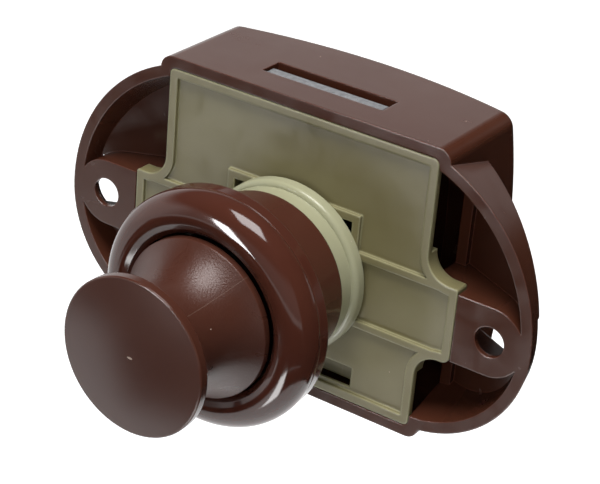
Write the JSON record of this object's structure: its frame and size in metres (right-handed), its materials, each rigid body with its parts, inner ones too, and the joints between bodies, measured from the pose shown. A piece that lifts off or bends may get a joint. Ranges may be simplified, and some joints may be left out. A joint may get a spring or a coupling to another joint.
{
  "type": "pushbutton furniture lock",
  "caption": "Surface-fixed pushbutton lock for cabinet doors: round knob in a rosette, guide sleeve through the door, moulded housing with a sliding bolt.",
  "frame": {"origin": "where the knob's axis crosses the inside face of the door, midway between the two screw holes", "axes": "+X along the line of the two screw holes, -Y out of the door's front, along the knob's axis, +Z the way the bolt comes out"},
  "size_m": [0.0786, 0.0601, 0.0447],
  "materials": {
    "housing_plastic": "glossy, dark brown",
    "plate_plastic": "satin, olive beige",
    "sleeve_plastic": "satin, olive beige",
    "rosette_plastic": "glossy, dark brown",
    "knob_plastic": "glossy cap, fine grain on the neck",
    "slide_plastic": "matte, off-white",
    "bolt_steel": "bright, zinc-plated",
    "zinc_steel": "zinc-plated",
    "spring_steel": "drawn wire and strip"
  },
  "bodies": {
    "case": {"housing": "housing_plastic", "mounting_plate": "plate_plastic", "guide_sleeve": "sleeve_plastic", "rosette": "rosette_plastic", "return_spring": "spring_steel", "catch_pin": "zinc_steel", "catch_spring": "spring_steel", "catch_spring_screw": "zinc_steel"},
    "knob": {"knob": "knob_plastic", "plunger": "slide_plastic", "knob_screw": "zinc_steel", "spring_washer": "zinc_steel"},
    "bolt": {"bolt": "bolt_steel", "bolt_carrier": "slide_plastic", "bolt_rivets": "zinc_steel", "drive_pin_left": "zinc_steel", "drive_pin_right": "zinc_steel", "drive_block_left": "slide_plastic", "drive_block_right": "slide_plastic"},
    "catch": {"catch_wire": "spring_steel"}
  },
  "joints": [
    {"name": "knob_slide", "type": "slide", "parent": "case", "child": "knob", "axis": [0, 1, 0], "range_m": [0, 0.0125], "stiffness_N_per_m": 250, "springref_m": -0.004, "deforming": ["return_spring"]},
    {"name": "bolt_slide", "type": "slide", "parent": "case", "child": "bolt", "axis": [0, 0, 1], "range_m": [0, 0.008]},
    {"name": "catch_swing", "type": "hinge", "parent": "case", "child": "catch", "pos_m": [0, 0.0188, -0.0094], "axis": [0, 0, 1], "range_deg": [0, 9]}
  ],
  "couplings": [
    {"joint": "bolt_slide", "follows": "knob_slide", "ratio": 0.64},
    {"joint": "catch_swing", "follows": "knob_slide", "rad_per_m": 12.566}
  ]
}
